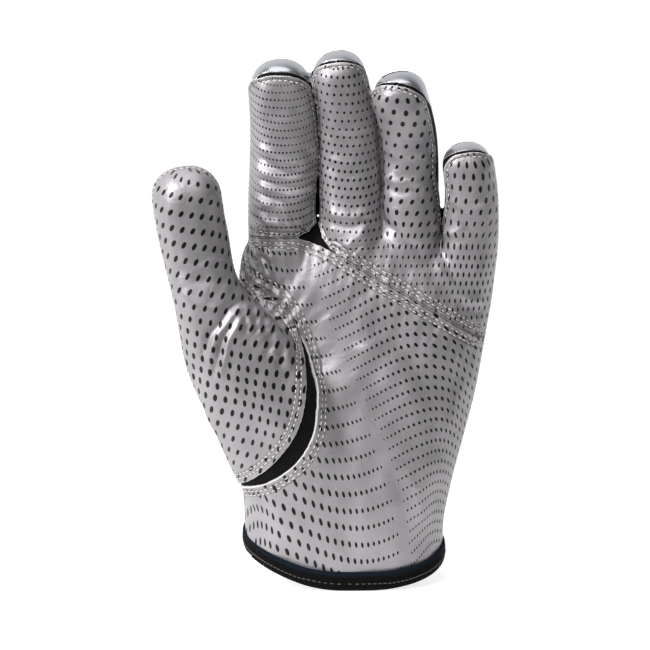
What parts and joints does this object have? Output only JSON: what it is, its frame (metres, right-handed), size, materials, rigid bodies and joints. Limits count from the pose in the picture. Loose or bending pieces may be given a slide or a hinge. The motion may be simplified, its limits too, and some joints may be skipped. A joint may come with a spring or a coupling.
{
  "type": "football receiver glove",
  "caption": "Left-hand sport glove with a silver printed grip palm, black stretch back and gussets, capped fingertips and a bound wrist, shaped as if worn.",
  "frame": {"origin": "Centre of the wrist opening, level with the bound edge's lower rim at the little finger's side.", "axes": "+Z from the wrist to the fingertips, +X from the thumb to the little finger, +Y from the palm to the back of the hand, so the palm faces -Y."},
  "size_m": [0.1245, 0.0571, 0.1957],
  "materials": {
    "grip_palm": "satin silver grip film with a dark dot print",
    "stretch_insert": "black stretch knit",
    "stretch_back": "black stretch knit with a fine mesh",
    "cap_film": "glossy silver film over cloth",
    "binding_tape": "black folded binding tape"
  },
  "bodies": {
    "root": {"palm_panel": "grip_palm", "index_panel": "grip_palm", "finger_panel": "grip_palm", "thumb_panel": "grip_palm", "thumb_gusset": "stretch_insert", "back_panel": "stretch_back", "fourchette_index_middle": "stretch_insert", "fourchette_middle_ring": "stretch_insert", "fourchette_ring_little": "stretch_insert", "tip_cap_index": "cap_film", "tip_cap_middle": "cap_film", "tip_cap_ring": "cap_film", "tip_cap_little": "cap_film", "tip_cap_thumb": "cap_film", "wrist_binding": "binding_tape"}
  },
  "joints": []
}
